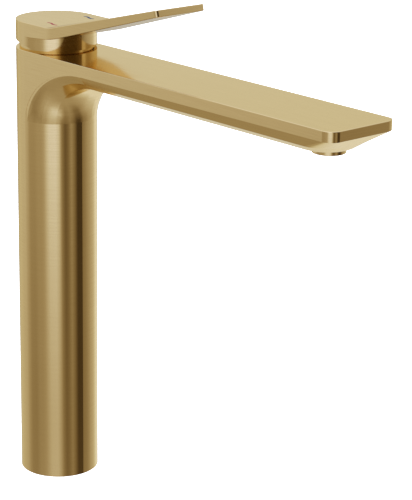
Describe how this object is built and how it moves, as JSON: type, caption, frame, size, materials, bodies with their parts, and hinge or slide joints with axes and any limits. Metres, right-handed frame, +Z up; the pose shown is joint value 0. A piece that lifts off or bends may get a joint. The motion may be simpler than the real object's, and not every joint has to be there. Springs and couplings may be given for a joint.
{
  "type": "bathroom mixer faucet",
  "caption": "Tall deck-mounted single-lever basin mixer: round column, flat cantilever spout with a faceted underside, and a wide upswept lever on a ball-joint cap.",
  "frame": {"origin": "centre of the column's foot, on the deck surface, on the axis of the fixing stud", "axes": "+Z up the column, +X out along the spout, +Y to the cold side"},
  "size_m": [0.2585, 0.045, 0.2867],
  "materials": {
    "brushed_gold": "fine-brushed satin gold plating",
    "turned_brass": "plain turned brass",
    "copper_tube": "drawn tube",
    "spring_steel": "oiled spring steel",
    "stainless": "machined stainless steel",
    "seal_rubber": "matt black rubber",
    "cartridge_plastic": "light grey moulding",
    "carrier_plastic": "dark grey moulding",
    "disc_ceramic": "lapped alumina ceramic",
    "aerator_plastic": "dark grey moulding",
    "hot_enamel": "red enamel fill",
    "cold_enamel": "blue enamel fill"
  },
  "bodies": {
    "faucet_body": {"body": "brushed_gold", "base_insert": "turned_brass", "insert_retaining_ring": "spring_steel", "base_gasket": "seal_rubber", "hot_riser": "copper_tube", "cold_riser": "copper_tube", "riser_seals": "seal_rubber", "cartridge_base": "cartridge_plastic", "inlet_seals": "seal_rubber", "disc_seals": "seal_rubber", "fixed_ceramic_disc": "disc_ceramic", "cartridge_housing": "cartridge_plastic", "housing_o_ring": "seal_rubber", "cartridge_nut": "turned_brass", "trim_dome": "brushed_gold", "dome_o_ring": "seal_rubber", "aerator_housing": "brushed_gold", "aerator_insert": "aerator_plastic", "aerator_washer": "seal_rubber"},
    "turning_core": {"spindle_carrier": "carrier_plastic", "stem_pin": "stainless"},
    "lever": {"handle": "brushed_gold", "stem": "stainless", "stem_bush": "carrier_plastic", "set_screw": "stainless", "set_screw_plug": "brushed_gold", "hot_mark": "hot_enamel", "cold_mark": "cold_enamel"},
    "mixing_disc": {"moving_ceramic_disc": "disc_ceramic", "disc_carrier": "carrier_plastic"}
  },
  "joints": [
    {"name": "handle_turn", "type": "hinge", "parent": "faucet_body", "child": "turning_core", "pos_m": [0, 0, 0.251], "axis": [0, 0, 1], "range_deg": [-45, 45]},
    {"name": "handle_lift", "type": "hinge", "parent": "turning_core", "child": "lever", "pos_m": [0, 0, 0.251], "axis": [0, -1, 0], "range_deg": [0, 11]},
    {"name": "disc_slide", "type": "slide", "parent": "turning_core", "child": "mixing_disc", "axis": [1, 0, 0], "range_m": [0, 0.0045]}
  ],
  "couplings": [
    {"joint": "disc_slide", "follows": "handle_lift", "m_per_rad": 0.021865}
  ]
}
